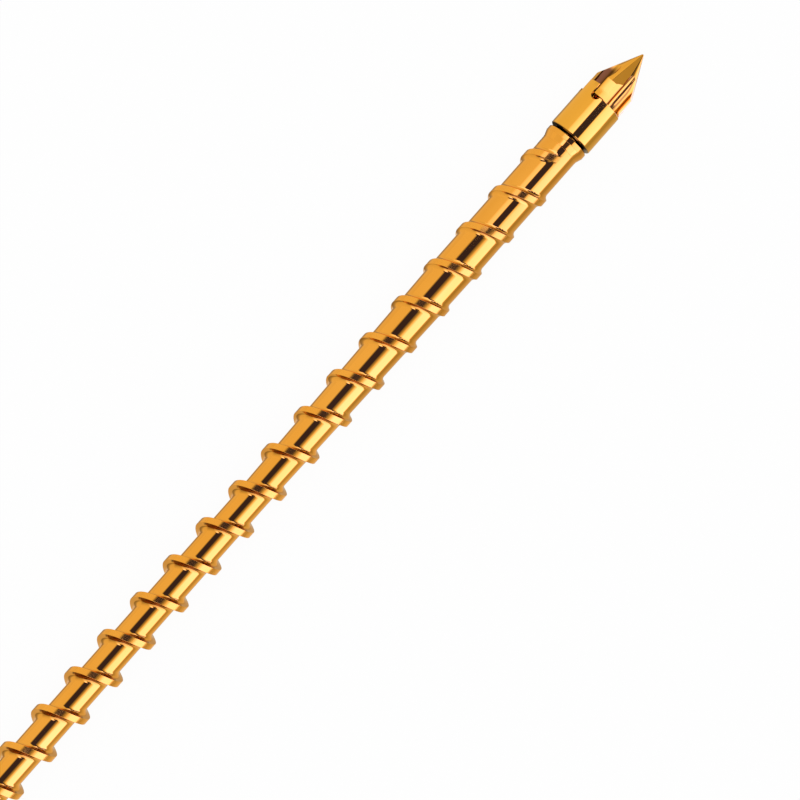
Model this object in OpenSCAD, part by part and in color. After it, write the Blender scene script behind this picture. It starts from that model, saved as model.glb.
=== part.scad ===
// Plasticising screw for a small injection barrel, with its check-ring tip.
// +X runs along the axis to the tip and +Z is up. The origin is on the axis, at the shoulder where the
// drive shank meets the sealing land. Lengths are millimetres and angles are degrees. An angle round
// the axis is counted from +Z towards -Y.

/* [Barrel fit] */
// Bore of the barrel that the screw turns in
barrel_bore = 40; // [38:0.5:44]
// Radial clearance of the flight in the barrel
flight_clearance = 0.1; // [0.05:0.01:0.3]
// Radial clearance of the check ring in the barrel
ring_clearance = 0.02; // [0.01:0.01:0.05]

/* [Flight] */
// Axial distance that the flight climbs in one turn
pitch = 40.7; // [37:0.1:46]
// Axial width of the flight's crest
crest_w = 5.9; // [4:0.1:8]
// Radius of the fillets at the flight's foot
foot_fillet_r = 4.6; // [3:0.1:5.5]
// Lean of the flanks from square to the axis
flank_lean = 5; // [2:1:12]
// Turn over which the flight rises at the feed end
rise_turn = 60; // [36:12:120]
// Turn over which the flight fades at the tip end
fade_turn = 60; // [36:12:120]

/* [Core] */
// Diameter of the core in the feed zone
feed_root_d = 25.6; // [22:0.2:28]
// Diameter of the core in the metering zone
meter_root_d = 34.2; // [30:0.2:35.4]
// Length of the feed zone, from the sealing land
feed_len = 456; // [300:4:600]
// Length of the compression zone, where the core thickens
comp_len = 244; // [120:2:320]
// Length of the metering zone, to the foot of the flange
meter_len = 141; // [110:1:240]
// Distance from the middle of the flight's end to the foot of the flange
neck_len = 10.8; // [9:0.2:16]

/* [Front flange] */
// Diameter of the flange at the screw's front face
flange_d = 38; // [36:0.2:39]
// Length of the flange's cone
flange_cone_len = 5; // [2:0.2:8]

/* [Drive end] */
// Diameter of the sealing land behind the flight
land_d = 39.6; // [37:0.1:39.8]
// Length of the sealing land
land_len = 44; // [20:1:80]
// Diameter of the drive shank
shank_d = 35; // [30:0.5:36]
// Length of the plain shank, groove included
shank_len = 100; // [70:1:160]
// Width of the split-ring groove
groove_w = 8; // [5:0.5:12]
// Depth of the split-ring groove
groove_depth = 3; // [1.5:0.5:4]
// Distance from the splines to the groove
groove_place = 18; // [10:1:30]
// Diameter over the splines
spline_d = 33; // [28:0.5:34]
// Length of the splines
spline_len = 56; // [30:1:80]
// Number of splines
spline_count = 8; // [6:1:10]
// Height of the splines
spline_height = 2.4; // [1.5:0.1:3]
// Mouth diameter of the centre hole
centre_hole_d = 8; // [5:0.5:10]

/* [Seat ring] */
// Diameter of the seat ring
seat_d = 38.2; // [36:0.2:39]
// Thickness of the seat ring
seat_len = 4.7; // [4:0.1:8]

/* [Check ring] */
// Length of the check ring without its dogs
ring_len = 38.3; // [30:0.1:50]
// Wall of the check ring
ring_wall = 5.4; // [4.5:0.1:6]
// Distance that the ring slides between its stops
ring_stroke = 2.6; // [1.5:0.1:4]
// Length of the dogs beyond the ring's front edge
dog_len = 9.5; // [6:0.1:12]
// Side clearance of a dog in its flute
dog_clearance = 0.25; // [0.2:0.05:0.8]
// Radius of the round reliefs beside each dog
relief_r = 4; // [2:0.1:4.5]
// How far each relief bites into the dog
relief_bite = 0.1; // [0:0.1:1.5]

/* [Tip] */
// Diameter over the wings
wing_d = 37.4; // [36:0.2:38.4]
// Length of the wings' cylindrical part
wing_len = 17.6; // [12:0.1:22]
// Length of the cone, to its sharp point
cone_len = 38.2; // [25:0.2:50]
// Radius of the rounded point
point_r = 1; // [0.5:0.1:2]
// Radius of the flutes between the wings
flute_r = 6.9; // [6:0.1:8]
// Radius of the core left at the bottom of the flutes
flute_floor_r = 10.4; // [10:0.1:12]
// Distance from the axis to the flat ground on each wing, beside the flute that follows it
wing_flat = 17; // [16:0.1:18.5]
// Angle between a flute and the flat beside it
wing_flat_angle = 15; // [12:1:20]
// Angle of the first flute round the axis
flute_angle = 38; // [0:1:90]
// Diameter of the stem inside the check ring
stem_d = 20.4; // [19:0.1:20.8]
// Diameter of the pilot that centres the seat ring
pilot_d = 17.2; // [16.6:0.1:18]
// Length of the pilot inside the screw
pilot_len = 8; // [4:0.5:14]
// Diameter of the stud that screws into the screw
stud_d = 16; // [12:0.5:16.4]
// Length of the stud beyond the pilot
stud_len = 30; // [20:1:45]

/* [Hidden] */

$fn = 96;

steel_gold = "#e0a23c";       // hard-coated steel, polished

facets_per_turn = 30;         // flat steps in one turn of the flight
fade_end_angle = 18;          // where the flight's last section is, round the axis
foot_shares = [0.9, 0.5, 0];  // of the foot fillet's turn, where the section has its points
wing_count = 4;
dog_flutes = [1, 3];          // the flutes that the two dogs slide in
edge_chamfer = 0.6;           // on turned edges
seam_chamfer = 0.1;           // where the seat ring meets the flange
shank_chamfer = 2;            // on the drive end
pilot_clearance = 0.05;       // radial, round the pilot and the stud
stop_gap = 0.3;               // between the open ring and the wings
bore_spare = 3;               // depth past the stud's end
drill_point_angle = 118;      // of the stud's tapping drill
centre_angle = 60;            // of the centre hole's cone
centre_pilot_r = 1.6;
centre_pilot_len = 3;
ground_len = 11.5;            // the ground neck's length, behind the flange
neck_raise = 0.15;            // the ground neck stands this proud of the core
point_steps = 4;              // flat steps of the rounded point
overlap = 1;                  // how far joined solids reach into each other
past = 1;                     // how far a cutter runs past what it cuts

flight_r = barrel_bore / 2 - flight_clearance;
feed_root_r = feed_root_d / 2;
meter_root_r = meter_root_d / 2;
ring_r = barrel_bore / 2 - ring_clearance;
ring_bore_r = ring_r - ring_wall;

// Stations along the axis
shank_start = -shank_len;
end_face = shank_start - spline_len;
groove_start = shank_start + groove_place;
flight_start = land_len;
comp_start = land_len + feed_len;
comp_end = comp_start + comp_len;
flange_start = comp_end + meter_len;
front_face = flange_start + flange_cone_len;
seat_front = front_face + seat_len;
ring_rear = seat_front + ring_stroke;
ring_front = ring_rear + ring_len;
wing_rear = ring_front + stop_gap;
cone_start = wing_rear + wing_len;
stud_end = front_face - pilot_len - stud_len;

// The flight's helix, counted in steps back from its last section
fade_x = flange_start - neck_len;
step_len = pitch / facets_per_turn;
run_in = foot_run(flight_r - feed_root_r) + crest_w / 2 + edge_chamfer;
steps = floor((fade_x - flight_start - run_in) / step_len);
rise_steps = rise_turn / 360 * facets_per_turn;
fade_steps = fade_turn / 360 * facets_per_turn;

// A solid of revolution round +X from a profile of [radius, x] points
module turned(profile) {
    rotate([0, 90, 0])
        rotate_extrude()
            polygon(profile);
}

// Radius of the core at a place along the axis
function core_r(x) =
    x < comp_start ? feed_root_r :
    x > comp_end ? meter_root_r :
    feed_root_r + (meter_root_r - feed_root_r) * (x - comp_start) / comp_len;

// Angle that the foot's fillet turns through before it meets the leaning flank or the crest
function foot_turn(depth) = min(90 - flank_lean, acos(1 - min(depth / foot_fillet_r, 1)));

// Axial run of a flank, from the crest's edge to the end of its fillet
function foot_run(depth) =
    let (turn = foot_turn(depth))
    tan(flank_lean) * (depth - foot_fillet_r * (1 - cos(turn))) + foot_fillet_r * sin(turn);

// One flank from the crest's edge to its foot, as [run, share of the depth] points
function flank(depth) =
    concat([[0, 1]],
           [for (share = foot_shares)
               let (turn = share * foot_turn(depth))
               [foot_run(depth) - foot_fillet_r * sin(turn),
                foot_fillet_r * (1 - cos(turn)) / depth]]);

// Share of the full depth that the flight has at a step, easing in and out at its ends
function ease(t) = let (u = min(max(t, 0), 1)) u * u * (3 - 2 * u);
function rise(s) = ease(s / rise_steps) * ease((steps - s) / fade_steps);

// The flight's section at a step, from its rear foot to its front foot, as [radius, x] points
function section(s) =
    let (centre = fade_x - (steps - s) * step_len,
         depth = flight_r - core_r(centre),
         side = flank(depth),
         last = len(side) - 1,
         runs = concat([for (i = [last:-1:0]) [-crest_w / 2 - side[i][0], side[i][1]]],
                       [for (i = [0:last]) [crest_w / 2 + side[i][0], side[i][1]]]))
    [for (p = runs)
        let (x = centre + p[0], root = core_r(x))
        [root + rise(s) * p[1] * (flight_r - root), x]];

// Core and flight as one helical surface. A first ring of points closes it inside the land and a last
// ring closes it inside the flange; between them lie the flight's sections, one for each step.
module flighted_core() {
    n = facets_per_turn;
    m = len(section(0));
    function angle_at(s) = fade_end_angle - 360 * (steps - s) / n;
    function spun(p, s) = [p[1], -p[0] * sin(angle_at(s)), p[0] * cos(angle_at(s))];
    function at(s, j) = n + s * m + j;
    function last_ring(s) = n + (steps + 1) * m + s % n;

    points = concat(
        [for (s = [0:n - 1]) spun([feed_root_r, flight_start - overlap], s)],
        [for (s = [0:steps]) for (p = section(s)) spun(p, s)],
        [for (s = [0:n - 1]) spun([meter_root_r, flange_start], s)]);

    flight_faces = [for (s = [0:steps - 1]) for (j = [0:m - 2])
        [at(s, j), at(s, j + 1), at(s + 1, j + 1), at(s + 1, j)]];
    root_faces = [for (s = [0:steps - n - 1])
        [at(s, m - 1), at(s + n, 0), at(s + n + 1, 0), at(s + 1, m - 1)]];
    first_faces = [for (s = [0:n - 2])
        [s, at(s, 0), at(s + 1, 0), s + 1]];
    last_faces = [for (s = [steps - n + 1:steps - 1])
        [at(s, m - 1), last_ring(s), last_ring(s + 1), at(s + 1, m - 1)]];
    // Where the flight starts and ends, the plain core takes in all the points of that section
    first_joint = concat([n - 1, at(n - 1, 0), at(n, 0)],
                         [for (j = [m - 1:-1:0]) at(0, j)], [0]);
    last_joint = concat([at(steps - n + 1, m - 1), at(steps - n, m - 1)],
                        [for (j = [0:m - 1]) at(steps, j)],
                        [last_ring(steps - n), last_ring(steps - n + 1)]);
    first_cap = [for (s = [0:n - 1]) s];
    last_cap = [for (s = [n - 1:-1:0]) last_ring(s)];

    polyhedron(points,
               concat(flight_faces, root_faces, first_faces, last_faces,
                      [first_joint, last_joint, first_cap, last_cap]),
               convexity = 10);
}

// Splined end, plain shank with its split-ring groove, and sealing land, as one turning
module drive_end() {
    spline_r = spline_d / 2;
    shank_r = shank_d / 2;
    land_r = land_d / 2;
    mouth_r = centre_hole_d / 2;
    cone_depth = (mouth_r - centre_pilot_r) / tan(centre_angle / 2);
    difference() {
        turned([
            [0, end_face + cone_depth + centre_pilot_len],
            [centre_pilot_r, end_face + cone_depth + centre_pilot_len],
            [centre_pilot_r, end_face + cone_depth],
            [mouth_r, end_face],
            [spline_r - shank_chamfer, end_face],
            [spline_r, end_face + shank_chamfer],
            [spline_r, shank_start],
            [shank_r - edge_chamfer, shank_start],
            [shank_r, shank_start + edge_chamfer],
            [shank_r, groove_start],
            [shank_r - groove_depth, groove_start],
            [shank_r - groove_depth, groove_start + groove_w],
            [shank_r, groove_start + groove_w],
            [shank_r, 0],
            [land_r - edge_chamfer, 0],
            [land_r, edge_chamfer],
            [land_r, land_len - edge_chamfer],
            [land_r - edge_chamfer, land_len],
            [0, land_len]]);
        spline_gaps(spline_r);
    }
}

// The gaps that leave the splines standing, each as wide as half its share of the rim
module spline_gaps(spline_r) {
    gap_w = 2 * spline_r * sin(90 / spline_count);
    for (i = [0:spline_count - 1])
        rotate([360 / spline_count * i, 0, 0])
            translate([end_face - past, -gap_w / 2, spline_r - spline_height])
                cube([spline_len + past, gap_w, spline_height + past]);
}

// Ground neck and the flange that the seat ring is clamped against
module front_flange() {
    turned([
        [0, flange_start - ground_len],
        [meter_root_r + neck_raise, flange_start - ground_len],
        [meter_root_r + neck_raise, flange_start],
        [flange_d / 2, front_face - seam_chamfer],
        [flange_d / 2, front_face],
        [0, front_face]]);
}

// Hole in the front face for the tip's pilot and stud
module stud_hole() {
    hole_r = stud_d / 2 + pilot_clearance;
    hole_end = stud_end - bore_spare;
    turned([
        [0, hole_end - hole_r / tan(drill_point_angle / 2)],
        [hole_r, hole_end],
        [hole_r, front_face - pilot_len - pilot_clearance],
        [pilot_d / 2 + pilot_clearance, front_face - pilot_len - pilot_clearance],
        [pilot_d / 2 + pilot_clearance, front_face + past],
        [0, front_face + past]]);
}

// The screw itself: drive end, flighted core and front flange in one piece
module screw() {
    color(steel_gold)
        difference() {
            union() {
                flighted_core();
                drive_end();
                front_flange();
            }
            stud_hole();
        }
}

// Ring clamped between the screw's face and the tip's stem, which the check ring closes on
module seat_ring() {
    color(steel_gold)
        turned([
            [pilot_d / 2 + pilot_clearance, front_face],
            [pilot_d / 2 + pilot_clearance, seat_front],
            [seat_d / 2 - edge_chamfer, seat_front],
            [seat_d / 2, seat_front - edge_chamfer],
            [seat_d / 2, front_face + seam_chamfer],
            [seat_d / 2 - seam_chamfer, front_face]]);
}

// Places its children at one of the flutes, turned so that the flute lies along +Z
module at_flute(i) {
    rotate([flute_angle + 360 / wing_count * i, 0, 0])
        children();
}

// A bar along a flute's line with a round inner side, smaller all round by a clearance
module flute_bar(from, to, clearance = 0) {
    bar_r = flute_r - clearance;
    translate([from, 0, flute_floor_r + flute_r]) {
        rotate([0, 90, 0])
            cylinder(r = bar_r, h = to - from);
        translate([0, -bar_r, 0])
            cube([to - from, 2 * bar_r, flute_r]);
    }
}

// Half of the angle that a dog spans on the ring's outside
function dog_half_angle() = asin((flute_r - dog_clearance) / ring_r);

// Sleeve of the check ring between two places along the axis
module ring_sleeve(from, to, chamfer) {
    turned([
        [ring_bore_r + chamfer, from],
        [ring_r - chamfer, from],
        [ring_r, from + chamfer],
        [ring_r, to],
        [ring_bore_r, to],
        [ring_bore_r, from + chamfer]]);
}

// Sleeve that slides between the seat ring and the wings, with two dogs that reach into the flutes
module check_ring() {
    relief_angle = dog_half_angle() + asin((relief_r - relief_bite) / ring_r);
    color(steel_gold)
        difference() {
            union() {
                ring_sleeve(ring_rear, ring_front, edge_chamfer);
                for (i = dog_flutes)
                    intersection() {
                        ring_sleeve(ring_front - overlap, ring_front + dog_len, 0);
                        at_flute(i) flute_bar(ring_front - overlap - past, ring_front + dog_len + past,
                                              dog_clearance);
                    }
            }
            for (i = dog_flutes) for (side = [-1, 1])
                at_flute(i)
                    rotate([side * relief_angle, 0, 0])
                        translate([ring_front, 0, ring_bore_r - past])
                            cylinder(r = relief_r, h = ring_wall + 2 * past);
        }
}

// Pointed nose with its wings, each eased by a flat on one side, the flutes between them, the stem
// through the check ring, and the stud, in one piece
module screw_tip() {
    wing_r = wing_d / 2;
    stem_r = stem_d / 2;
    pilot_r = pilot_d / 2;
    stud_r = stud_d / 2;
    slope = atan(wing_r / cone_len);
    point_place = cone_start + cone_len - point_r / sin(slope);
    color(steel_gold)
        difference() {
            turned(concat(
                [[0, stud_end],
                 [stud_r - edge_chamfer, stud_end],
                 [stud_r, stud_end + edge_chamfer],
                 [stud_r, front_face - pilot_len],
                 [pilot_r, front_face - pilot_len],
                 [pilot_r, seat_front],
                 [stem_r, seat_front],
                 [stem_r, wing_rear],
                 [wing_r - edge_chamfer, wing_rear],
                 [wing_r, wing_rear + edge_chamfer],
                 [wing_r, cone_start]],
                [for (turn = [90 - slope:-(90 - slope) / point_steps:1])
                    [point_r * sin(turn), point_place + point_r * cos(turn)]],
                [[0, point_place + point_r]]));
            for (i = [0:wing_count - 1])
                at_flute(i) {
                    flute_bar(wing_rear - past, cone_start + cone_len);
                    rotate([-wing_flat_angle, 0, 0])
                        translate([wing_rear - past, -wing_r, wing_flat])
                            cube([wing_len + cone_len, 2 * wing_r, wing_r]);
                }
        }
}

screw();
seat_ring();
check_ring();
screw_tip();
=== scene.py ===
"""Looks of the plasticising screw: fine meshes, polished gold-coloured steel, studio and camera.

Lengths are metres in the frame's own axes: +X runs along the screw's axis to its tip and +Z is up.
An angle round the axis is counted from +Z towards -Y, in degrees.
"""
import math

import bmesh
import bpy
from mathutils import Matrix, Vector
from mathutils.geometry import delaunay_2d_cdt


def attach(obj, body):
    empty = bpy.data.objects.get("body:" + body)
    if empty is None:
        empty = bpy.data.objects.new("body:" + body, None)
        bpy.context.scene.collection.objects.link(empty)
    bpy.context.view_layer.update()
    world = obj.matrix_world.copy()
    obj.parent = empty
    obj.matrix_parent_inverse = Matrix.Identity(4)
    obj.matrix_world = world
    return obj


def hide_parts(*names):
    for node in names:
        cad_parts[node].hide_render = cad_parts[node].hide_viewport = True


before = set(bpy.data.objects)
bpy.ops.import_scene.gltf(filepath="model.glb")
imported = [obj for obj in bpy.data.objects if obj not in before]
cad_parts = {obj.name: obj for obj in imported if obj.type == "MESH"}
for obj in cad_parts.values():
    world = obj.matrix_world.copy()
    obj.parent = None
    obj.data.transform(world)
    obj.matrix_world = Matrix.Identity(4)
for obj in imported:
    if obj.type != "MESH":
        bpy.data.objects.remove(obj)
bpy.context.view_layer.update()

MM = 0.001

# --- Sizes of the part's source, with radii for its diameters ----------------------------------
FLIGHT_R = 19.9 * MM
PITCH = 40.7 * MM
CREST_W = 5.9 * MM
FOOT_FILLET_R = 4.6 * MM
FLANK_LEAN = math.radians(5)    # in radians; the other angles are in degrees
RISE_TURN = 60
FADE_TURN = 60
FADE_END_ANGLE = 18
CAD_FACETS_PER_TURN = 30
FEED_ROOT_R = 12.8 * MM
METER_ROOT_R = 17.1 * MM
COMP_START = 500 * MM
COMP_END = 744 * MM
FLANGE_START = 885 * MM
FLANGE_CONE_LEN = 5 * MM
FLANGE_R = 19 * MM
NECK_LEN = 10.8 * MM
NECK_RAISE = 0.15 * MM
LAND_R = 19.8 * MM
LAND_LEN = 44 * MM
SHANK_R = 17.5 * MM
SHANK_LEN = 100 * MM
GROOVE_W = 8 * MM
GROOVE_DEPTH = 3 * MM
GROOVE_PLACE = 18 * MM
SPLINE_R = 16.5 * MM
SPLINE_LEN = 56 * MM
SPLINE_COUNT = 8
SPLINE_HEIGHT = 2.4 * MM
SPLINE_FLOOR_R = SPLINE_R - SPLINE_HEIGHT
SPLINE_GAP_HALF = math.sin(math.pi / 2 / SPLINE_COUNT) * SPLINE_R
CENTRE_HOLE_R = 4 * MM
CENTRE_PILOT_R = 1.6 * MM
CENTRE_PILOT_LEN = 3 * MM
CENTRE_CONE_HALF = 30
SHANK_CHAMFER = 2 * MM
EDGE_CHAMFER = 0.6 * MM
SEAM_CHAMFER = 0.1 * MM
PILOT_CLEARANCE = 0.05 * MM
BORE_SPARE = 3 * MM
DRILL_POINT_LEN = 5 * MM
SEAT_R = 19.1 * MM
SEAT_LEN = 4.7 * MM
RING_R = 19.98 * MM
RING_BORE_R = 14.58 * MM
RING_STROKE = 2.6 * MM
RING_LEN = 38.3 * MM
DOG_LEN = 9.5 * MM
DOG_CLEARANCE = 0.25 * MM
DOG_FLUTES = (1, 3)
DOG_SECTOR = 180 / len(DOG_FLUTES)
RELIEF_R = 4 * MM
RELIEF_BITE = 0.1 * MM
STOP_GAP = 0.3 * MM
WING_R = 18.7 * MM
WING_LEN = 17.6 * MM
WING_COUNT = 4
CONE_LEN = 38.2 * MM
POINT_R = 1 * MM
FLUTE_R = 6.9 * MM
FLUTE_FLOOR_R = 10.4 * MM
FLUTE_PLACE = FLUTE_FLOOR_R + FLUTE_R    # of the middle of a flute's round floor
FLUTE_ANGLE = 38
WING_FLAT = 17 * MM
WING_FLAT_ANGLE = 15
STEM_R = 10.2 * MM
PILOT_R = 8.6 * MM
PILOT_LEN = 8 * MM
STUD_R = 8 * MM
STUD_LEN = 30 * MM

# Stations along the axis
SHANK_START = -SHANK_LEN
END_FACE = SHANK_START - SPLINE_LEN
GROOVE_START = SHANK_START + GROOVE_PLACE
FRONT_FACE = FLANGE_START + FLANGE_CONE_LEN
SEAT_FRONT = FRONT_FACE + SEAT_LEN
RING_REAR = SEAT_FRONT + RING_STROKE
RING_FRONT = RING_REAR + RING_LEN
WING_REAR = RING_FRONT + STOP_GAP
CONE_START = WING_REAR + WING_LEN
STUD_END = FRONT_FACE - PILOT_LEN - STUD_LEN

# --- Fineness of the meshes -------------------------------------------------------------------
SEAT_SPARE = 0.03 * MM    # keeps the closed check ring's face just off the seat ring's
NECK_STEP = 1 * MM        # the skin raises the ground neck over this length only, at the flange
EDGE_ROUND = 0.25 * MM
STEP_ROUND = 0.15 * MM    # arcs at the corners of the seat ring and of the tip's stem
ROUND_STEPS = 3
LEAST_CORNER = math.radians(8)
LEAST_MITRE = 0.5
SKIN_SPACING = 1.2 * MM   # between the points inside the check ring's skins
RING_POINTS = 120
FILLET_STEPS = 7
FILLET_SHARE = 0.97       # how much of the foot fillet's turn has points of its own
GAP_POINTS = (-1, -0.5, 0, 0.5, 1)
SPLINE_POINTS = 10
RELIEF_STEPS = 21
DOG_SIDE_STEPS = 4
DOG_EDGE_STEPS = 8
FRONT_STEPS = 16
FLUTE_STEPS = 12
FACE_STEPS = 16
FLAT_STEPS = 5
WING_ROWS = 6
RUN_OUT_ROWS = 24
RUN_OUT_EASE = 1.6        # rows stand closer together where a flute runs out
CONE_ROWS = 12
POINT_ROWS = 7
STEM_TURN = 15            # how far the stem's points start before the flute's middle
CREASE = 30               # edges that turn by more than this angle stay sharp
TIP_CREASE = 18

# --- Shades of the steel: 0 polished, 1 darkest painted shade, below 0 ground ------------------
CREST_SHADE = -1.0
# Streaks of painted shade on the flights' flanks, for the dark reflections on one side of the screw
STREAK_EDGE = [0.0, 0.3, 1.0]
STREAK_WIDER = 0.4        # how much wider a streak is in the deepest channel
STREAK_LEAST = 0.15
STREAK_FADE = 12          # angle over which a streak fades at each end
REAR_STREAK = (-25, 22)   # angles round the axis, in the shallowest channel
REAR_STREAK_DEEPER = 20   # how much sooner the rear streak starts in the deepest channel
FRONT_STREAK = (0, 40)
# Painted shade on the check ring's front wall: in its reliefs, on its face at the gap to the tip,
# on its dogs
RELIEF_SHADE, FACE_SHADE, DOG_SHADE = 1.0, 0.6, 0.2
# Painted shade in the tip's flutes, for their dark reflections and shade:
DOG_FLUTE_SHADE = 0.75
DOG_FLUTE_FADE, DOG_FLUTE_FADE_SPAN = 0.6, 0.2    # as shares of the wings' radius
NEAR_SIDE_SHADE = 0.8
FLUTE_LINE, FLUTE_BAND = 2.5, 5.5         # places across a flute, in points from its middle
FLUTE_LINE_TOP, FLUTE_BAND_TOP = 1.5, 1.1
FLUTE_BAND_SPAN = 1.2
FACE_BAND = 0.1 * MM      # how far from a face its points still count as on it
FLUTE_LEAST = 0.01 * MM   # depth from which a point counts as in a flute


# --- Mesh helpers -----------------------------------------------------------------------------
def round_point(radius, x, angle):
    """The point at a radius, a place along the axis and an angle round it."""
    a = math.radians(angle)
    return (x, -radius * math.sin(a), radius * math.cos(a))


def circle(radius, x, turn=0.0):
    """A ring of points round the axis."""
    return [round_point(radius, x, turn + 360 * i / RING_POINTS) for i in range(RING_POINTS)]


def bridge(rows):
    """Faces between closed rows of vertex numbers, all of one length."""
    return [(a[i], a[(i + 1) % len(a)], b[(i + 1) % len(a)], b[i])
            for a, b in zip(rows, rows[1:]) for i in range(len(a))]


class Shell:
    """Points and faces of one mesh while it is built up."""

    def __init__(self):
        self.points = []
        self.shades = []
        self.faces = []

    def add(self, points, shades=None):
        """Adds points and returns their numbers. A shade says how much painted shade darkens the
        steel at each, and below 0 how coarsely it is ground."""
        first = len(self.points)
        self.points += points
        self.shades += shades or [0.0] * len(points)
        return list(range(first, first + len(points)))

    def rings(self, profile, turn=0.0, shade=lambda x: 0.0):
        """Adds a ring of points for each (radius, x) of a profile and bridges them in order. The
        shade says how much painted shade darkens the steel at a place along the axis."""
        rows = [self.add(circle(r, x, turn), [shade(x)] * RING_POINTS) for r, x in profile]
        self.faces += bridge(rows)
        return rows

    def finish(self, name, crease=CREASE):
        """The mesh object, with its normals outwards and its edges sharp above the crease angle."""
        mesh = bpy.data.meshes.new(name)
        mesh.from_pydata(self.points, [], self.faces)
        mesh.attributes.new("shade", "FLOAT", "POINT").data.foreach_set("value", self.shades)
        form = bmesh.new()
        form.from_mesh(mesh)
        bmesh.ops.remove_doubles(form, verts=form.verts, dist=1e-7)
        bmesh.ops.recalc_face_normals(form, faces=form.faces)
        for face in form.faces:
            face.smooth = True
        for edge in form.edges:
            edge.smooth = edge.calc_face_angle(0) < math.radians(crease)
        form.to_mesh(mesh)
        form.free()
        thing = bpy.data.objects.new(name, mesh)
        bpy.context.scene.collection.objects.link(thing)
        weigh = thing.modifiers.new("weighted normals", "WEIGHTED_NORMAL")
        weigh.keep_sharp = True
        return thing


def rounded(profile, edge_r=EDGE_ROUND):
    """A profile of (radius, x) points with each corner, except the two ends, cut to a small arc."""
    result = [profile[0]]
    for before, corner, after in zip(profile, profile[1:], profile[2:]):
        corner_v = Vector(corner)
        back, ahead = Vector(before) - corner_v, Vector(after) - corner_v
        turn = math.pi - back.angle(ahead)
        if turn < LEAST_CORNER:
            result.append(corner)
            continue
        cut = min(edge_r * math.tan(turn / 2), back.length / 3, ahead.length / 3)
        start, end = corner_v + back.normalized() * cut, corner_v + ahead.normalized() * cut
        for i in range(ROUND_STEPS + 1):
            t = i / ROUND_STEPS
            p = start.lerp(corner_v, t).lerp(corner_v.lerp(end, t), t)
            result.append((p.x, p.y))
    return result + [profile[-1]]


# --- The screw --------------------------------------------------------------------------------
def core_r(x):
    """Radius of the screw's core at a place along the axis."""
    share = min(max((x - COMP_START) / (COMP_END - COMP_START), 0.0), 1.0)
    return FEED_ROOT_R + (METER_ROOT_R - FEED_ROOT_R) * share


def ease(t):
    """A smooth step from 0 to 1."""
    u = min(max(t, 0.0), 1.0)
    return u * u * (3 - 2 * u)


def foot_turn(depth):
    """How far the foot fillet turns before it meets the leaning flank or the crest."""
    return min(math.pi / 2 - FLANK_LEAN, math.acos(max(1 - depth / FOOT_FILLET_R, -1)))


def foot_run(depth):
    """Axial run of a flank, from the crest's edge to the end of its fillet."""
    turn = foot_turn(depth)
    straight = depth - FOOT_FILLET_R * (1 - math.cos(turn))
    return math.tan(FLANK_LEAN) * straight + FOOT_FILLET_R * math.sin(turn)


def flank(depth):
    """One flank from its rounded crest edge to its foot, as (run, share of the depth) points."""
    run, foot = foot_run(depth), foot_turn(depth)
    points = []
    for i in range(ROUND_STEPS + 1):
        a = i / ROUND_STEPS * foot
        points.append((EDGE_ROUND * (math.sin(a) - 1), 1 - EDGE_ROUND * (1 - math.cos(a)) / depth))
    for i in range(FILLET_STEPS + 1):
        turn = foot * FILLET_SHARE * (1 - i / FILLET_STEPS)
        points.append((run - FOOT_FILLET_R * math.sin(turn),
                       FOOT_FILLET_R * (1 - math.cos(turn)) / depth))
    return points


def streak_share(angle, start, end):
    """How strong a streak between two angles round the axis is at an angle."""
    a = (angle + 180) % 360 - 180
    inside = ease((a - start) / STREAK_FADE + 1) * ease((end - a) / STREAK_FADE + 1)
    return STREAK_LEAST + (1 - STREAK_LEAST) * inside


def flight_shades(angle, root):
    """The shades of the flight's section at an angle round the axis, where the root has a radius:
    the steep part of each flank gets a streak of painted shade on one side of the screw, for the
    dark reflections there, which is longer and wider in a deeper channel, and the crest is ground."""
    deep = (METER_ROOT_R - root) / (METER_ROOT_R - FEED_ROOT_R)
    wide = 1.0 + STREAK_WIDER * deep
    streak = STREAK_EDGE + [min(max(wide - i / 4, 0.0), 1.0) for i in range(FILLET_STEPS + 1)]
    rear_start, rear_end = REAR_STREAK
    rear = streak_share(angle, rear_start - REAR_STREAK_DEEPER * deep, rear_end)
    front = streak_share(angle, *FRONT_STREAK)
    return ([rear * shade_share for shade_share in reversed(streak)] + [CREST_SHADE] * 2
            + [front * shade_share for shade_share in streak])


def flight_steps():
    """Steps of the whole flight. The source's own steps are coarser and start at the same place."""
    run_in = foot_run(FLIGHT_R - FEED_ROOT_R) + CREST_W / 2 + EDGE_CHAMFER
    room = FLANGE_START - NECK_LEN - LAND_LEN - run_in
    return math.floor(room * CAD_FACETS_PER_TURN / PITCH) * RING_POINTS // CAD_FACETS_PER_TURN


def flight_section(s, steps):
    """The flight's section at a step as (radius, x) points, from its rear foot to its front one."""
    centre = FLANGE_START - NECK_LEN - (steps - s) * PITCH / RING_POINTS
    side = flank(FLIGHT_R - core_r(centre))
    height = (ease(s / (RISE_TURN / 360 * RING_POINTS))
              * ease((steps - s) / (FADE_TURN / 360 * RING_POINTS)))
    runs = [(-CREST_W / 2 - run, share) for run, share in reversed(side)]
    runs += [(CREST_W / 2 + run, share) for run, share in side]
    section = []
    for run, share in runs:
        root = core_r(centre + run)
        section.append((root + height * share * (FLIGHT_R - root), centre + run))
    return section


def spline_row(x, outside):
    """A row of points round the splined end, with the gaps between the splines cut in."""
    edge_angle = math.degrees(math.asin(SPLINE_GAP_HALF / outside))
    share = 360 / SPLINE_COUNT
    row = []
    for k in range(SPLINE_COUNT):
        for y in GAP_POINTS:
            across = y * SPLINE_GAP_HALF
            angle = math.degrees(math.atan2(across, SPLINE_FLOOR_R))
            row.append(round_point(math.hypot(across, SPLINE_FLOOR_R), x, share * k + angle))
        for i in range(SPLINE_POINTS):
            angle = edge_angle + (share - 2 * edge_angle) * i / (SPLINE_POINTS - 1)
            row.append(round_point(outside, x, share * k + angle))
    return row


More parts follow.
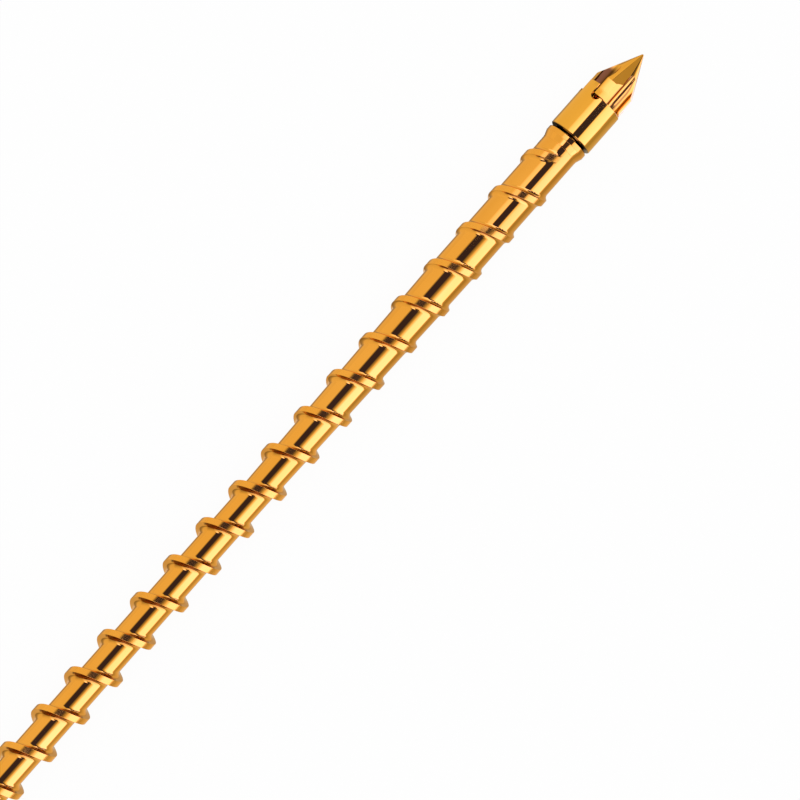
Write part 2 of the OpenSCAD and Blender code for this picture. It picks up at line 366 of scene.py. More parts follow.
def add_drive_end(shell, start_turn):
    """Adds the centre hole, the splines, the grooved shank and the sealing land. Returns the last
    ring of points, at the root beside the land, which starts at the turn given."""
    spline_turn = -math.degrees(math.atan2(SPLINE_GAP_HALF, SPLINE_FLOOR_R))
    cone_depth = (CENTRE_HOLE_R - CENTRE_PILOT_R) / math.tan(math.radians(CENTRE_CONE_HALF))
    hole = shell.rings(rounded([
        (CENTRE_PILOT_R, END_FACE + cone_depth + CENTRE_PILOT_LEN),
        (CENTRE_PILOT_R, END_FACE + cone_depth),
        (CENTRE_HOLE_R, END_FACE),
        (SPLINE_FLOOR_R - EDGE_CHAMFER, END_FACE)]), spline_turn)
    shell.faces.append(tuple(hole[0]))
    splines = [shell.add(spline_row(x, r)) for x, r in (
        (END_FACE, SPLINE_R - SHANK_CHAMFER),
        (END_FACE + SHANK_CHAMFER - EDGE_ROUND, SPLINE_R - EDGE_ROUND),
        (END_FACE + SHANK_CHAMFER + EDGE_ROUND, SPLINE_R),
        (SHANK_START, SPLINE_R))]
    shell.faces += bridge([hole[-1], *splines])

    drive = shell.rings(rounded([
        (SHANK_R - EDGE_CHAMFER, SHANK_START),
        (SHANK_R, SHANK_START + EDGE_CHAMFER),
        (SHANK_R, GROOVE_START),
        (SHANK_R - GROOVE_DEPTH, GROOVE_START),
        (SHANK_R - GROOVE_DEPTH, GROOVE_START + GROOVE_W),
        (SHANK_R, GROOVE_START + GROOVE_W),
        (SHANK_R, 0),
        (LAND_R - EDGE_CHAMFER, 0),
        (LAND_R, EDGE_CHAMFER),
        (LAND_R, LAND_LEN - EDGE_CHAMFER),
        (LAND_R - EDGE_CHAMFER, LAND_LEN),
        (FEED_ROOT_R, LAND_LEN)]), start_turn)
    roll = round((start_turn - spline_turn) * RING_POINTS / 360) % RING_POINTS
    shell.faces += bridge([splines[-1][roll:] + splines[-1][:roll], drive[0]])
    return drive[-1]


def add_front_end(shell, start_turn):
    """Adds the neck, the flange and the bore for the tip's stud. Returns the first ring of points,
    at the root before the neck, which starts at the turn given."""
    pilot_bore_r, stud_bore_r = PILOT_R + PILOT_CLEARANCE, STUD_R + PILOT_CLEARANCE
    pilot_end = FRONT_FACE - PILOT_LEN - PILOT_CLEARANCE
    front = shell.rings(rounded([
        (METER_ROOT_R, FLANGE_START - NECK_STEP),
        (METER_ROOT_R + NECK_RAISE, FLANGE_START - 0.9 * NECK_STEP),
        (METER_ROOT_R + NECK_RAISE, FLANGE_START),
        (FLANGE_R, FRONT_FACE - SEAM_CHAMFER),
        (FLANGE_R, FRONT_FACE),
        (pilot_bore_r, FRONT_FACE),
        (pilot_bore_r, pilot_end),
        (stud_bore_r, pilot_end),
        (stud_bore_r, STUD_END - BORE_SPARE),
        (EDGE_ROUND, STUD_END - BORE_SPARE - DRILL_POINT_LEN)]), start_turn)
    shell.faces.append(tuple(front[-1]))
    return front[0]


def make_screw():
    """Drive end, flighted core and front flange as one closed skin."""
    shell = Shell()
    n = RING_POINTS
    steps = flight_steps()
    start_turn = (FADE_END_ANGLE - 360 * steps / n) % 360
    turns = [start_turn + 360 * s / n for s in range(steps + 1)]

    # Flight and root are one helical skin between the land and the flange
    first = add_drive_end(shell, start_turn)
    rows = []
    for s in range(steps + 1):
        section = flight_section(s, steps)
        rows.append(shell.add([round_point(r, x, turns[s]) for r, x in section],
                              flight_shades(turns[s], core_r(section[0][1]))))
    last = add_front_end(shell, turns[steps - steps % n])
    for s in range(steps):
        shell.faces += [(rows[s][j], rows[s][j + 1], rows[s + 1][j + 1], rows[s + 1][j])
                        for j in range(len(rows[s]) - 1)]

    # The root from one turn to the next, and from its first and last turns to the rings beside them
    for s in range(steps - n):
        shell.faces.append((rows[s][-1], rows[s + n][0], rows[s + n + 1][0], rows[s + 1][-1]))
    for s in range(n - 1):
        shell.faces.append((first[s], rows[s][0], rows[s + 1][0], first[s + 1]))
    for s in range(steps - n + 1, steps):
        shell.faces.append((rows[s][-1], last[s % n], last[(s + 1) % n], rows[s + 1][-1]))
    shell.faces.append((first[n - 1], rows[n - 1][0], rows[n][0], *reversed(rows[0]), first[0]))
    shell.faces.append((rows[steps - n + 1][-1], rows[steps - n][-1], *rows[steps],
                        last[steps % n], last[(steps + 1) % n]))
    return shell.finish("screw_skin")


# --- The seat ring ----------------------------------------------------------------------------
def make_seat_ring():
    """Chamfered ring clamped between the flange and the tip's stem."""
    shell = Shell()
    bore = PILOT_R + PILOT_CLEARANCE
    # Its front face gets painted shade, for the gap to the check ring
    rows = shell.rings(rounded([
        (bore, FRONT_FACE + SEAT_LEN / 2),
        (bore, SEAT_FRONT),
        (SEAT_R - EDGE_CHAMFER, SEAT_FRONT),
        (SEAT_R, SEAT_FRONT - EDGE_CHAMFER),
        (SEAT_R, FRONT_FACE + SEAM_CHAMFER),
        (SEAT_R - SEAM_CHAMFER, FRONT_FACE),
        (bore, FRONT_FACE),
        (bore, FRONT_FACE + SEAT_LEN / 2)], STEP_ROUND),
        shade=lambda x: float(x > SEAT_FRONT - FACE_BAND))
    shell.faces += bridge([rows[-1], rows[0]])
    return shell.finish("seat_ring_skin")


# --- Flutes and dogs --------------------------------------------------------------------------
def slot_half_angle(radius, half_width):
    """Half of the angle that a flute spans where it opens at a radius: its floor is a round bar,
    with parallel sides further out. A dog is the same form, with a smaller half width."""
    if radius <= FLUTE_PLACE - half_width:
        return 0.0
    if radius ** 2 >= FLUTE_PLACE ** 2 + half_width ** 2:
        return math.degrees(math.asin(half_width / radius))
    cosine = (FLUTE_PLACE ** 2 + radius ** 2 - half_width ** 2) / (2 * FLUTE_PLACE * radius)
    return math.degrees(math.acos(min(cosine, 1)))


# --- The check ring ---------------------------------------------------------------------------
def ring_front_line(radius):
    """The ring's front edge at a radius, once round, as (angle, x): its dogs and their reliefs."""
    dog = FLUTE_R - DOG_CLEARANCE
    relief_angle = (slot_half_angle(RING_R, dog)
                    + math.degrees(math.asin((RELIEF_R - RELIEF_BITE) / RING_R)))
    half = slot_half_angle(radius, dog)
    top = RING_FRONT + DOG_LEN
    offset = radius * math.sin(math.radians(relief_angle - half))
    rise = math.degrees(math.acos(offset / RELIEF_R))
    relief = []
    for i in range(RELIEF_STEPS + 1):
        a = math.radians(rise - (180 + rise) * i / RELIEF_STEPS)
        across = math.degrees(math.asin(RELIEF_R * math.cos(a) / radius))
        relief.append((relief_angle - across, RING_FRONT + RELIEF_R * math.sin(a)))
    edge = [(half * i / DOG_EDGE_STEPS, top) for i in range(DOG_EDGE_STEPS + 1)]
    side = [(half, top - (top - relief[0][1]) * i / DOG_SIDE_STEPS)
            for i in range(1, DOG_SIDE_STEPS)]
    half_dog = edge + side + relief
    rest = DOG_SECTOR - relief[-1][0]
    half_dog += [(relief[-1][0] + rest * i / FRONT_STEPS, RING_FRONT)
                 for i in range(1, FRONT_STEPS)]
    line = []
    for flute in DOG_FLUTES:
        centre = FLUTE_ANGLE + 360 / WING_COUNT * flute
        line += [(centre - a, x) for a, x in reversed(half_dog[1:])]
        line += [(centre + a, x) for a, x in half_dog]
        line.append((centre + DOG_SECTOR, RING_FRONT))
    return line


def ring_skin(shell, radius, line, rear):
    """Covers the ring's cylinder at a radius from a line of (angle, x) back to a rear ring."""
    start = line[0][0]
    across = math.radians(1) * radius
    points = [Vector(((a - start) * across, x)) for a, x in line]
    closing = Vector((360 * across, line[0][1]))
    rear_row = [Vector((360 * across * i / RING_POINTS, rear)) for i in range(RING_POINTS + 1)]
    outline = points + [closing] + rear_row[::-1]
    inside = []
    for k in range(1, int((RING_FRONT + DOG_LEN - rear) / SKIN_SPACING)):
        for i in range(1, RING_POINTS):
            spot = Vector((360 * across * i / RING_POINTS, rear + SKIN_SPACING * k))
            near_edge = spot.y > RING_FRONT - RELIEF_R - SKIN_SPACING
            if not near_edge or min((spot - p).length for p in points) > SKIN_SPACING / 2:
                inside.append(spot)
    inside_only, merge = 1, 1e-9
    verts, _, faces, *_ = delaunay_2d_cdt(
        outline + inside, [], [list(range(len(outline)))], inside_only, merge)
    used = sorted({i for face in faces for i in face})
    numbers = dict(zip(used, shell.add(
        [round_point(radius, verts[i].y, start + verts[i].x / across) for i in used])))
    shell.faces += [tuple(numbers[i] for i in face) for face in faces]


def inset_line(line, radius, depth):
    """A closed line of (angle, x) on a cylinder, moved inwards by a depth."""
    across = math.radians(1) * radius
    inset = []
    for i, (a, x) in enumerate(line):
        sides = []
        for other_a, other_x in (line[i - 1], line[(i + 1) % len(line)]):
            sides.append(Vector(((other_a - a + 180) % 360 - 180, 0)) * across
                         + Vector((0, other_x - x)))
        back, ahead = sides
        n1 = Vector((-back.y, back.x)).normalized()
        n2 = Vector((ahead.y, -ahead.x)).normalized()
        inwards = (n1 + n2) / max(1 + n1.dot(n2), LEAST_MITRE)
        inset.append((a + inwards.x * depth / across, x + inwards.y * depth))
    return inset


def wall_shades(line):
    """The painted shade of the ring's front wall: darkest in the relief hollows, less on its face
    at the gap to the tip, and least on its dogs.
    """
    return [RELIEF_SHADE if x < RING_FRONT - FACE_BAND
            else FACE_SHADE if x < RING_FRONT + FACE_BAND
            else DOG_SHADE for _, x in line]


def make_check_ring():
    """Sleeve with two dogs, the round reliefs beside them and a fine chamfer round its front."""
    shell = Shell()
    rear = RING_REAR + SEAT_SPARE
    outer, inner = ring_front_line(RING_R), ring_front_line(RING_BORE_R)
    inset = inset_line(outer, RING_R, EDGE_ROUND)
    ring_skin(shell, RING_R, inset, rear + EDGE_CHAMFER)
    ring_skin(shell, RING_BORE_R, inner, rear + EDGE_CHAMFER)
    rows = [shell.add([round_point(RING_R, x, a) for a, x in inset]),
            shell.add([round_point(RING_R - EDGE_ROUND, x, a) for a, x in outer],
                      wall_shades(outer)),
            shell.add([round_point(RING_BORE_R, x, a) for a, x in inner], wall_shades(inner))]
    shell.faces += bridge(rows)
    # Painted shade on the ring's rear face, for the gap to the seat ring
    shell.rings([
        (RING_R, rear + EDGE_CHAMFER),
        (RING_R - EDGE_CHAMFER, rear),
        (RING_BORE_R + EDGE_CHAMFER, rear),
        (RING_BORE_R, rear + EDGE_CHAMFER)], inset[0][0], lambda x: float(x < rear + FACE_BAND))
    return shell.finish("check_ring_skin")


# --- The tip ----------------------------------------------------------------------------------
def near_rim(radius):
    """Where a flute's near side ends below a wing's flat or its round face, as (y, z)."""
    lean = math.radians(WING_FLAT_ANGLE)
    at_flat = math.acos((FLUTE_PLACE * math.cos(lean) - WING_FLAT) / FLUTE_R) - lean
    cosine = (FLUTE_PLACE ** 2 + FLUTE_R ** 2 - radius ** 2) / (2 * FLUTE_PLACE * FLUTE_R)
    turn = min(at_flat, math.acos(min(cosine, 1)))
    return -FLUTE_R * math.sin(turn), FLUTE_PLACE - FLUTE_R * math.cos(turn)


def tip_row(radius, x):
    """A row of points round the wings or the cone, with the flutes and the wings' flats cut in
    where they reach."""
    far = slot_half_angle(radius, FLUTE_R)
    far_y = radius * math.sin(math.radians(far))
    near_y, near_z = near_rim(radius)
    near = math.degrees(math.atan2(-near_y, near_z))
    flat_half = math.degrees(math.acos(min(WING_FLAT / radius, 1)))
    share = 360 / WING_COUNT
    flat_start = share - max(WING_FLAT_ANGLE + flat_half, near)
    row = []
    for k in range(WING_COUNT):
        centre = FLUTE_ANGLE + share * k
        row.append(round_point(min(math.hypot(near_y, near_z), radius), x, centre - near))
        for i in range(1 - FLUTE_STEPS, FLUTE_STEPS):
            reach = -near_y if i < 0 else far_y
            y = reach * math.sin(math.pi / 2 * i / FLUTE_STEPS)
            z = min(FLUTE_PLACE - math.sqrt(max(FLUTE_R ** 2 - y * y, 0)),
                    math.sqrt(radius ** 2 - y * y))
            row.append(round_point(math.hypot(y, z), x, centre + math.degrees(math.atan2(y, z))))
        for i in range(FACE_STEPS):
            row.append(round_point(radius, x, centre + far + (flat_start - far) * i / FACE_STEPS))
        for i in range(FLAT_STEPS):
            angle = flat_start + (share - near - flat_start) * i / FLAT_STEPS
            flat_r = WING_FLAT / math.cos(math.radians(share - WING_FLAT_ANGLE - angle))
            row.append(round_point(min(radius, flat_r), x, centre + angle))
    return row


def tip_shades(radius):
    """The painted shade of a row, for the flutes' dark reflections and shade: all over in the
    flutes that hold the dogs, out to where these run out, and else under a flute's near side, in a
    fine line along its floor and in a band."""
    row = tip_row(radius, 0)
    per_wing = len(row) // WING_COUNT
    shades = []
    for number, (_, y, z) in enumerate(row):
        wing, place = divmod(number, per_wing)
        i = place - FLUTE_STEPS
        shade = 0.0
        if i < FLUTE_STEPS and radius - math.hypot(y, z) > FLUTE_LEAST:
            near = ease(-i / 2)
            if wing in DOG_FLUTES:
                shade = DOG_FLUTE_SHADE + (1 - DOG_FLUTE_SHADE) * near
                shade *= ease((radius / WING_R - DOG_FLUTE_FADE) / DOG_FLUTE_FADE_SPAN)
            else:
                line = max(FLUTE_LINE_TOP - abs(i - FLUTE_LINE), 0.0)
                band = max(FLUTE_BAND_TOP - abs(i - FLUTE_BAND) / FLUTE_BAND_SPAN, 0.0)
                shade = max(NEAR_SIDE_SHADE * near, line, band)
        shades.append(shade)
    return shades


def cone_r(x):
    """Radius of the tip's cone at a place along the axis."""
    return WING_R * (CONE_START + CONE_LEN - x) / CONE_LEN


def nose_profile():
    """The outside of the wings, the cone and its rounded point, as (radius, x) points."""
    slope = math.atan(WING_R / CONE_LEN)
    point_place = CONE_START + CONE_LEN - POINT_R / math.sin(slope)
    run_out = CONE_START + CONE_LEN * (1 - FLUTE_FLOOR_R / WING_R)
    cone_end = point_place + POINT_R * math.sin(slope)

    profile = [(WING_R - EDGE_CHAMFER, WING_REAR)]
    profile += [(WING_R, WING_REAR + EDGE_CHAMFER + (WING_LEN - EDGE_CHAMFER) * i / WING_ROWS)
                for i in range(WING_ROWS + 1)]
    for i in range(1, RUN_OUT_ROWS + 1):
        x = CONE_START + (run_out - CONE_START) * (1 - (1 - i / RUN_OUT_ROWS) ** RUN_OUT_EASE)
        profile.append((cone_r(x), x))
    for i in range(1, CONE_ROWS + 1):
        x = run_out + (cone_end - run_out) * i / CONE_ROWS
        profile.append((cone_r(x), x))
    for i in range(1, POINT_ROWS):
        turn = (math.pi / 2 - slope) * (1 - i / POINT_ROWS)
        profile.append((POINT_R * math.sin(turn), point_place + POINT_R * math.cos(turn)))
    return profile


def make_tip():
    """Stud, pilot and stem, with the wings, flutes and cone of the nose, as one closed skin."""
    shell = Shell()
    rows = [shell.add(tip_row(r, x), tip_shades(r)) for r, x in nose_profile()]
    # Painted shade along the wings' rear rim, at the gap to the check ring
    shell.shades[rows[0][0]:rows[0][-1] + 1] = [NEAR_SIDE_SHADE] * len(rows[0])
    shell.faces += bridge(rows)
    shell.faces.append(tuple(rows[-1]))

    count = len(rows[0])
    start = FLUTE_ANGLE - STEM_TURN
    body = [shell.add([round_point(r, x, start + 360 * i / count) for i in range(count)])
            for r, x in rounded([
                (STUD_R - EDGE_CHAMFER, STUD_END),
                (STUD_R, STUD_END + EDGE_CHAMFER),
                (STUD_R, FRONT_FACE - PILOT_LEN),
                (PILOT_R, FRONT_FACE - PILOT_LEN),
                (PILOT_R, SEAT_FRONT),
                (STEM_R, SEAT_FRONT),
                (STEM_R, WING_REAR)], STEP_ROUND)]
    shell.faces += bridge([*body, rows[0]])
    shell.faces.append(tuple(body[0]))
    return shell.finish("screw_tip_skin", TIP_CREASE)


# --- Materials --------------------------------------------------------------------------------
GOLD = (0.93, 0.40, 0.05)
PALE_GOLD = (0.97, 0.435, 0.065)
# Colour that the painted shade darkens the steel towards
PAINTED_SHADE = (0.12, 0.045, 0.01, 1)
EDGE_TINT = (1.0, 0.93, 0.80, 1)            # of the steel at grazing angles
SMOOTH, WORN, GROUND = 0.03, 0.065, 0.12    # roughness
MARK_SHARE = 0.035                          # height of the turning marks beside the waves
BUMP_STRENGTH, BUMP_HEIGHT = 0.06, 0.1 * MM
# Cells per metre along X, Y and Z
DRIFT_CELLS = (14, 40, 40)
WEAR_CELLS = (60, 200, 200)
MARK_CELLS = (2600, 60, 60)
WAVE_CELLS = (90, 120, 120)


class NodeDesk:
    """The nodes of one material, with short ways to add the common ones."""

    def __init__(self, material, seed):
        self.nodes, self.links = material.node_tree.nodes, material.node_tree.links
        self.seed = seed
        self.place = self.nodes.new("ShaderNodeTexCoord").outputs["Object"]

    def noise(self, cells, detail, rough=0.5):
        """Noise in the piece's own axes, moved by the seed."""
        squeeze = self.nodes.new("ShaderNodeMapping")
        squeeze.inputs["Scale"].default_value = cells
        squeeze.inputs["Location"].default_value = (self.seed, self.seed * 0.7, self.seed * 0.3)
        self.links.new(self.place, squeeze.inputs["Vector"])
        cloud = self.nodes.new("ShaderNodeTexNoise")
        cloud.inputs["Scale"].default_value = 1.0
        cloud.inputs["Detail"].default_value = detail
        cloud.inputs["Roughness"].default_value = rough
        self.links.new(squeeze.outputs["Vector"], cloud.inputs["Vector"])
        return cloud.outputs["Fac"]

    def ramp(self, source, low, high):
        """Colours from two stops, each a (place, colour) pair."""
        band = self.nodes.new("ShaderNodeValToRGB")
        for element, (at, colour) in zip(band.color_ramp.elements, (low, high)):
            element.position = at
            element.color = (*colour, 1)
        self.links.new(source, band.inputs["Fac"])
        return band.outputs["Color"]

    def maths(self, kind, *terms):
        """A maths node on terms that are sockets or plain numbers."""
        node = self.nodes.new("ShaderNodeMath")
        node.operation = kind
        for term, entry in zip(terms, node.inputs):
            if isinstance(term, float):
                entry.default_value = term
            else:
                self.links.new(term, entry)
        return node


def polished_steel(name, seed, yellow):
    """Polished steel with a hard gold-coloured coat: fine turning marks round the axis, faint
    waves left by polishing by hand, and a slight drift in the coat's colour. The mesh's shade
    darkens its colour as painted shade, and below 0 makes it ground."""
    material = bpy.data.materials.new(name)
    material.use_nodes = True
    desk = NodeDesk(material, seed)
    nodes, links = desk.nodes, desk.links
    shader = nodes["Principled BSDF"]
    shader.inputs["Metallic"].default_value = 1.0
    shader.inputs["Specular Tint"].default_value = EDGE_TINT

    # The shade attribute mixes painted shade into the base colour, and below 0 adds roughness
    shade = nodes.new("ShaderNodeAttribute")
    shade.attribute_name = "shade"
    shade = shade.outputs["Fac"]
    coats = [(at, (r, g * yellow, b)) for at, (r, g, b) in ((0.3, GOLD), (0.7, PALE_GOLD))]
    tint = nodes.new("ShaderNodeMix")
    tint.data_type = "RGBA"
    links.new(shade, tint.inputs["Factor"])
    links.new(desk.ramp(desk.noise(DRIFT_CELLS, 2), *coats), tint.inputs["A"])
    tint.inputs["B"].default_value = PAINTED_SHADE
    links.new(tint.outputs["Result"], shader.inputs["Base Color"])

    wear = desk.ramp(desk.noise(WEAR_CELLS, 4, 0.6), (0.3, (SMOOTH,) * 3), (0.75, (WORN,) * 3))
    ground = desk.maths("MULTIPLY", shade, -GROUND)
    ground.use_clamp = True
    rough = desk.maths("ADD", wear, ground.outputs[0])
    links.new(rough.outputs[0], shader.inputs["Roughness"])

    marks, waves = desk.noise(MARK_CELLS, 2), desk.noise(WAVE_CELLS, 1)
    height = desk.maths("MULTIPLY_ADD", marks, MARK_SHARE, waves)
    bump = nodes.new("ShaderNodeBump")
    bump.inputs["Strength"].default_value = BUMP_STRENGTH
    bump.inputs["Distance"].default_value = BUMP_HEIGHT
    links.new(height.outputs[0], bump.inputs["Height"])
    links.new(bump.outputs["Normal"], shader.inputs["Normal"])
    return material


def glow_material():
    """A glowing material whose colour is stored at each corner of the mesh."""
    material = bpy.data.materials.new("card")
    material.use_nodes = True
    nodes = material.node_tree.nodes
    nodes.clear()
    level = nodes.new("ShaderNodeAttribute")
    level.attribute_name = "level"
    glow = nodes.new("ShaderNodeEmission")
    glow.inputs["Strength"].default_value = 1.0
    out = nodes.new("ShaderNodeOutputMaterial")
    material.node_tree.links.new(level.outputs["Color"], glow.inputs["Color"])
    material.node_tree.links.new(glow.outputs[0], out.inputs["Surface"])
    return material


def seen_plain(nodes, links, share):
    """A factor that is the share where the camera, metal or glass looks, and 0 for lighting."""
    path = nodes.new("ShaderNodeLightPath")
    total = path.outputs["Is Camera Ray"]
    for kind in ("Is Glossy Ray", "Is Transmission Ray"):
        add = nodes.new("ShaderNodeMath")
        add.operation = "ADD"
        add.use_clamp = True
        links.new(total, add.inputs[0])
        links.new(path.outputs[kind], add.inputs[1])
        total = add.outputs[0]
    part = nodes.new("ShaderNodeMath")
    part.operation = "MULTIPLY"
    part.inputs[1].default_value = share
    links.new(total, part.inputs[0])
    return part.outputs[0]


# --- The studio -------------------------------------------------------------------------------
EYE_X, EYE_Z = -0.133, 5.95                 # where the camera stands along the screw and above it
FLOOR_Z = -RING_R - 0.3 * MM
FLOOR_CARD_Z = -RING_R - 0.1 * MM
FLOOR_REACH = 30
FLOOR_WHITE = 0.955                         # how much of the floor shows as plain white
ROOM_LIGHT = 0.88
CARD_STEPS = 6                              # steps from one stop of a card to the next
CARD_BLUE = 0.15                            # bluish shade of the cards where they are dark
FEED_LIFT = 1.22                            # how much brighter the floor cards' painted reflection of the floor is beside the feed end

# Borders between the cards along the axis: the far ones hang at FAR_R and the near ones at NEAR_R
FAR_R, NEAR_R = 1.6, 0.4
REAR_X, DRIVE_X, FRONT_X = -0.7, 0.2, 1.75
NECK_X, RING_X, TIP_X, TIP_END_X = 0.848, 0.9555, 1.0115, 1.12

# Each card hangs between two rims of (radius, x) and has stops of (angle, level)
CARDS = (
    ("rear_card", [(FAR_R, REAR_X), (FAR_R, DRIVE_X)], [
        (-90, 0.85), (-30, 0.85), (-22, 1.0), (-14, 1.8), (-3, 1.8), (0, 0.06), (23, 0.06),
        (28, 1.5), (44, 1.8), (90, 1.8)]),
    ("screw_card", [(FAR_R, DRIVE_X), (FAR_R, FRONT_X)], [
        (-90, 0.9), (-34, 0.9), (-25, 0.04), (6, 0.04), (19, 0.55), (40, 2.0), (82, 2.1),
        (86.5, 0.6), (90, 0.5)]),
    ("front_card", [(NEAR_R, NECK_X), (NEAR_R, RING_X)], [
        (-90, 0.85), (-34, 0.9), (-24, 1.3), (-7, 1.4), (-3, 0.04), (27, 0.04), (32, 1.2),
        (44, 1.7), (80, 1.9), (85.5, 0.6), (90, 0.5)]),
    ("ring_card", [(NEAR_R, RING_X), (NEAR_R, TIP_X)], [
        (-90, 0.85), (-34, 0.9), (-26, 1.4), (-4, 1.7), (-1, 0.04), (29, 0.04), (33, 1.4),
        (44, 1.7), (80, 1.9), (85.5, 0.6), (92.8, 0.42)]),
    ("tip_card", [(NEAR_R, TIP_X), (NEAR_R, TIP_END_X)], [
        (-90, 0.75), (-58, 0.8), (-52, 1.2), (-33, 1.7), (0, 1.9), (28, 1.9), (29, 0.03),
        (41.5, 0.03), (42, 1.8), (47, 1.8), (47.5, 0.03), (57, 0.03), (58, 1.8), (84, 1.9),
        (90, 1.2)]),
    ("low_flag_rear", [(0.02, REAR_X), (0.35, REAR_X)], [(-95, 0.05), (95, 0.05)]),
    ("high_flag_rear", [(0.35, REAR_X), (2.2, REAR_X)], [
        (-90, 0.85), (-30, 0.85), (-14, 1.2), (30, 1.2), (44, 1.6), (90, 1.6)]),
    ("low_flag_front", [(0.05, FRONT_X), (0.5, FRONT_X)], [
        (-95, 0.8), (-52, 0.8), (-48, 0.25), (-44, 0.5), (60, 0.5), (95, 0.3)]),
    ("high_flag_front", [(0.5, FRONT_X), (2.2, FRONT_X)], [
        (-90, 0.8), (-20, 1.0), (-8, 1.8), (0, 1.8), (6, 0.05), (60, 0.05), (95, 0.3)]))

# The floor's cards are strips across the screw, with stops of (y, level). They paint the floor's
# reflection: painted shadow under the screw and under the rings' gap, painted shade beside it, and
# a painted brighter floor at the feed end and the tip.
BELOW = [(-1.6, 0.42), (-0.12, 0.42), (-0.045, 0.62), (-0.024, 0.68)]
BELOW_FEED = [(y, level * FEED_LIFT) for y, level in BELOW]
BELOW_TIP = [(-1.6, 0.38), (-0.12, 1.0), (-0.05, 1.7), (-0.024, 1.7)]
UNDER = [(-0.023, 0.6), (-0.014, 0.6), (-0.01, 0.05), (0.01, 0.05), (0.014, 0.8), (0.023, 0.7)]
UNDER_GAP = [(-0.018, 0.5), (-0.014, 0.05), (0.024, 0.05)]
ABOVE = [(0.026, 0.3), (0.034, 0.45), (0.05, 0.85), (1.6, 0.85)]
FLOOR_CARDS = (
    ((-1.0, 0.6), BELOW_FEED + UNDER + ABOVE),
    ((0.6, 0.875), BELOW + UNDER + ABOVE),
    ((0.875, 0.905), BELOW + UNDER_GAP + ABOVE),
    ((0.905, 0.937), BELOW + UNDER + ABOVE),
    ((0.937, 2.5), BELOW_TIP + UNDER + ABOVE))


def lamp_colour(level, blue):
    """The colour of a card at a level: warm where it is dim, cool where it is bright, and with
    more blue where it is dark."""
    dark = max(1 - level / 0.3, 0)
    cool = min(max(level - 0.9, 0), 1)
    return (level, level * (0.95 + 0.05 * cool), level * (0.8 + 1.6 * cool) + blue * dark, 1)


def glow_strip(name, material, rows, levels, blue=0.0):
    """A strip between two rows of points that shows only in reflections, with a level for each
    pair of points."""
    count = len(levels)
    mesh = bpy.data.meshes.new(name)
    mesh.from_pydata([p for row in rows for p in row], [],
                     [(i, i + 1, i + count + 1, i + count) for i in range(count - 1)])
    glow = mesh.attributes.new("level", "FLOAT_COLOR", "POINT")
    for i, level in enumerate(levels * 2):
        glow.data[i].color = lamp_colour(level, blue)
    mesh.materials.append(material)
    thing = bpy.data.objects.new(name, mesh)
    bpy.context.scene.collection.objects.link(thing)
    thing.visible_camera = False
    thing.visible_diffuse = False
    thing.visible_shadow = False


def card(name, material, rims, stops):
    """A card round the axis between two rims of (radius, x). Its stops are (angle, level) pairs,
    with even steps between them."""
    angles, levels = [], []
    for (a0, l0), (a1, l1) in zip(stops, stops[1:]):
        for i in range(CARD_STEPS):
            angles.append(a0 + (a1 - a0) * i / CARD_STEPS)
            levels.append(l0 + (l1 - l0) * i / CARD_STEPS)
    angles.append(stops[-1][0])
    levels.append(stops[-1][1])
    rows = [[round_point(r, x, a) for a in angles] for r, x in rims]
    glow_strip(name, material, rows, levels, CARD_BLUE)


def floor_card(material, span, stops):
    """A card that lies just above the floor under a span of the screw, and widens away from it as
    the camera's view does in a reflection. Its stops are (y, level), levels of a painted
    reflection of the floor, dark as painted shadow under the screw."""
    rows = []
    for x in span:
        spread = (x - EYE_X) / EYE_Z
        rows.append([(x + abs(y) * spread, y, FLOOR_CARD_Z) for y, _ in stops])
    glow_strip("floor_card", material, rows, [level for _, level in stops])


def make_room():
    """An even room that lights at a plain level and shows as white."""
    world = bpy.data.worlds.new("room")
    bpy.context.scene.world = world
    world.use_nodes = True
    nodes, links = world.node_tree.nodes, world.node_tree.links
    nodes.clear()
    mix = nodes.new("ShaderNodeMixShader")
    out = nodes.new("ShaderNodeOutputWorld")
    for i, strength in ((1, ROOM_LIGHT), (2, 1.0)):
        room = nodes.new("ShaderNodeBackground")
        room.inputs["Color"].default_value = (1, 1, 1, 1)
        room.inputs["Strength"].default_value = strength
        links.new(room.outputs[0], mix.inputs[i])
    links.new(seen_plain(nodes, links, 1.0), mix.inputs["Fac"])
    links.new(mix.outputs[0], out.inputs["Surface"])


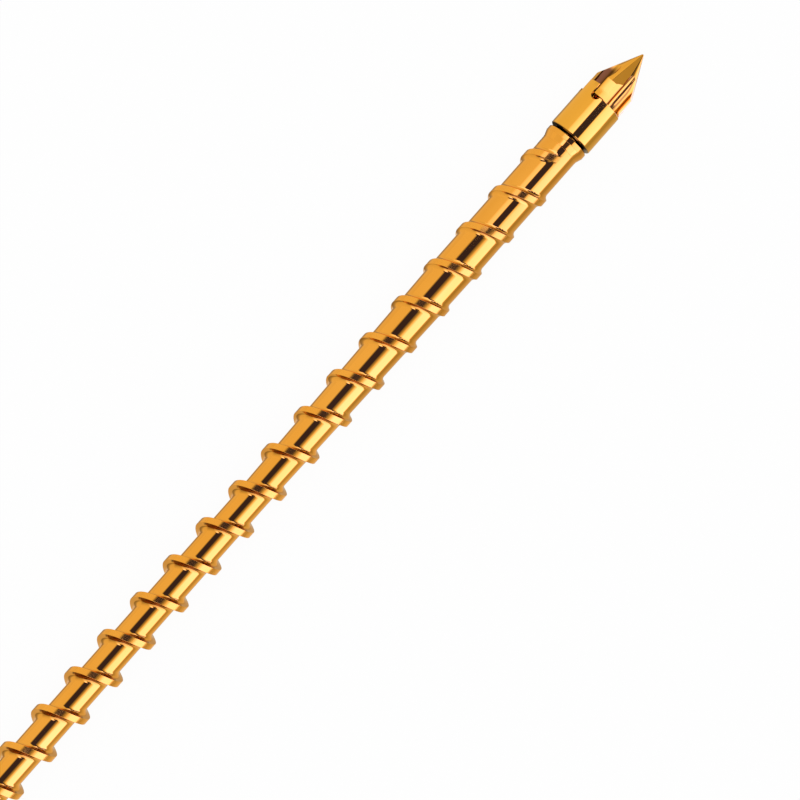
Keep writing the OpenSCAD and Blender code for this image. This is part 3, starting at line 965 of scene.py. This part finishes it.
def make_floor():
    """A white floor just under the screw, which shows almost white with a faint shadow."""
    material = bpy.data.materials.new("floor")
    material.use_nodes = True
    nodes, links = material.node_tree.nodes, material.node_tree.links
    nodes.clear()
    paint = nodes.new("ShaderNodeBsdfDiffuse")
    paint.inputs["Color"].default_value = (0.95, 0.95, 0.95, 1)
    glow = nodes.new("ShaderNodeEmission")
    glow.inputs["Strength"].default_value = 1.0
    mix = nodes.new("ShaderNodeMixShader")
    out = nodes.new("ShaderNodeOutputMaterial")
    links.new(seen_plain(nodes, links, FLOOR_WHITE), mix.inputs["Fac"])
    links.new(paint.outputs[0], mix.inputs[1])
    links.new(glow.outputs[0], mix.inputs[2])
    links.new(mix.outputs[0], out.inputs["Surface"])
    mesh = bpy.data.meshes.new("floor")
    corners = ((-1, -1), (1, -1), (1, 1), (-1, 1))
    mesh.from_pydata([(FLOOR_REACH * x, FLOOR_REACH * y, FLOOR_Z) for x, y in corners], [],
                     [(0, 1, 2, 3)])
    mesh.materials.append(material)
    floor = bpy.data.objects.new("floor", mesh)
    bpy.context.scene.collection.objects.link(floor)


def make_studio():
    """White floor, even white room, and the cards that the polished metal reflects."""
    bpy.context.scene.view_settings.view_transform = "Standard"
    make_room()
    make_floor()
    glow = glow_material()
    for name, rims, stops in CARDS:
        card(name, glow, rims, stops)
    for span, stops in FLOOR_CARDS:
        floor_card(glow, span, stops)


def make_camera():
    """A long lens far above the screw, looking a little towards the tip."""
    tilt = math.radians(7.4)
    distance = 6
    aim = Vector((0.6399, -0.0379, 0))
    along = Vector((math.cos(tilt), 0, math.sin(tilt)))
    back = Vector((-math.sin(tilt), 0, math.cos(tilt)))
    side = Vector((0, 1, 0))
    lean = math.radians(48.62)
    up = along * math.sin(lean) + side * math.cos(lean)
    right = along * math.cos(lean) - side * math.sin(lean)
    data = bpy.data.cameras.new("camera")
    data.sensor_width = 36
    data.lens = 54.78 * distance
    data.clip_start, data.clip_end = 1, 100
    camera = bpy.data.objects.new("camera", data)
    bpy.context.scene.collection.objects.link(camera)
    turn = Matrix((right, up, back)).transposed().to_4x4()
    camera.matrix_world = Matrix.Translation(aim + back * distance) @ turn
    bpy.context.scene.camera = camera


# --- Everything together ----------------------------------------------------------------------
for make, node, body, slot, seed, yellow in (
        (make_screw, "screw", "screw_body", "screw_steel", 0.0, 1.0),
        (make_seat_ring, "seat_ring", "screw_body", "seat_steel", 3.1, 1.0),
        (make_check_ring, "check_ring", "ring_body", "ring_steel", 7.3, 1.09),
        (make_tip, "screw_tip", "screw_body", "tip_steel", 11.9, 1.06)):
    piece = make()
    piece.data.materials.append(polished_steel(slot, seed, yellow))
    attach(piece, body)
    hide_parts(node)

make_studio()
make_camera()
